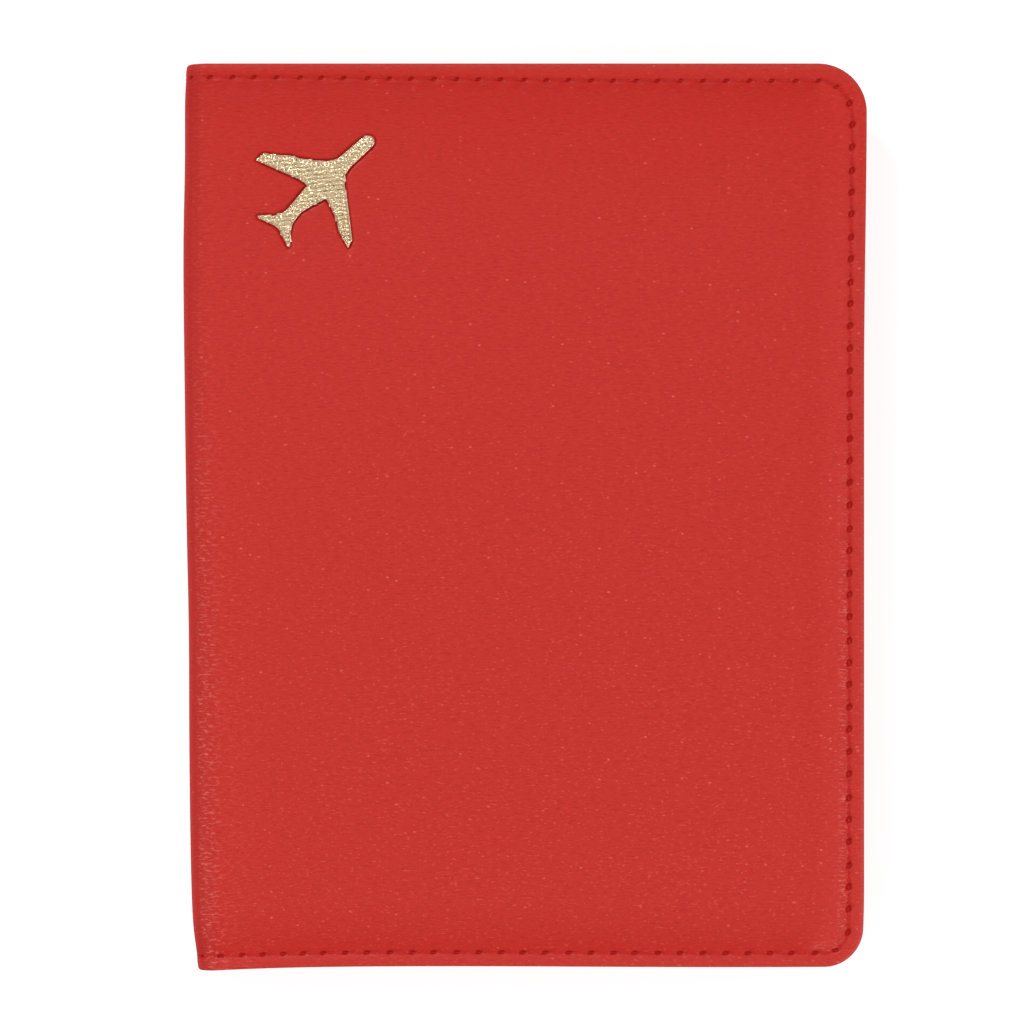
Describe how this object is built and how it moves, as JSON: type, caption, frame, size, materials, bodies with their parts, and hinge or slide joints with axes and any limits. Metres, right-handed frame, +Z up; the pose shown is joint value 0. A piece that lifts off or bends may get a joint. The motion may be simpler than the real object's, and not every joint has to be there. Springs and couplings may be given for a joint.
{
  "type": "passport holder",
  "caption": "Slim red leatherette passport holder that opens flat like a book, with an embroidered aeroplane outside and passport sleeves and card pockets inside.",
  "frame": {"origin": "on the resting face of the back cover, under the middle of the closed holder's box", "axes": "+X from the spine to the fore edge, +Y from the tail to the head, +Z up through the covers"},
  "size_m": [0.105, 0.14, 0.0123],
  "materials": {
    "outer_leatherette": "satin, fine wrinkled grain",
    "inner_leatherette": "satin, smoother than the outside",
    "lining_cloth": "matt woven lining",
    "stiffening_board": "matt greyboard",
    "stabiliser_paper": "matt non-woven sheet",
    "sewing_thread": "red polyester thread, slight sheen",
    "gold_thread": "metallic gold embroidery thread"
  },
  "bodies": {
    "back_cover": {"back_cover_skin": "outer_leatherette", "back_turned_margin": "outer_leatherette", "back_board": "stiffening_board", "back_lining": "lining_cloth", "back_sleeve_hem": "inner_leatherette", "back_passport_sleeve": "inner_leatherette", "back_needle_thread": "sewing_thread", "back_bobbin_thread": "sewing_thread", "back_sleeve_edge_thread": "sewing_thread"},
    "spine": {"spine_skin": "outer_leatherette", "spine_lining": "lining_cloth", "spine_needle_thread": "sewing_thread", "spine_bobbin_thread": "sewing_thread"},
    "front_cover": {"front_cover_skin": "outer_leatherette", "plane_embroidery": "gold_thread", "embroidery_backing": "stabiliser_paper", "front_turned_margin": "outer_leatherette", "front_board": "stiffening_board", "front_lining": "lining_cloth", "front_sleeve_hem": "inner_leatherette", "front_passport_sleeve": "inner_leatherette", "lower_card_pocket_hem": "inner_leatherette", "lower_card_pocket": "inner_leatherette", "upper_card_pocket_hem": "inner_leatherette", "upper_card_pocket": "inner_leatherette", "front_needle_thread": "sewing_thread", "front_bobbin_thread": "sewing_thread", "card_pocket_thread": "sewing_thread"}
  },
  "joints": [
    {"name": "back_fold", "type": "hinge", "parent": "back_cover", "child": "spine", "pos_m": [-0.0521, 0, 0.0004], "axis": [0, -1, 0], "range_deg": [0, 90]},
    {"name": "front_fold", "type": "hinge", "parent": "spine", "child": "front_cover", "pos_m": [-0.0521, 0, 0.0114], "axis": [0, -1, 0], "range_deg": [0, 90]}
  ],
  "couplings": [
    {"joint": "front_fold", "follows": "back_fold", "ratio": 1}
  ]
}
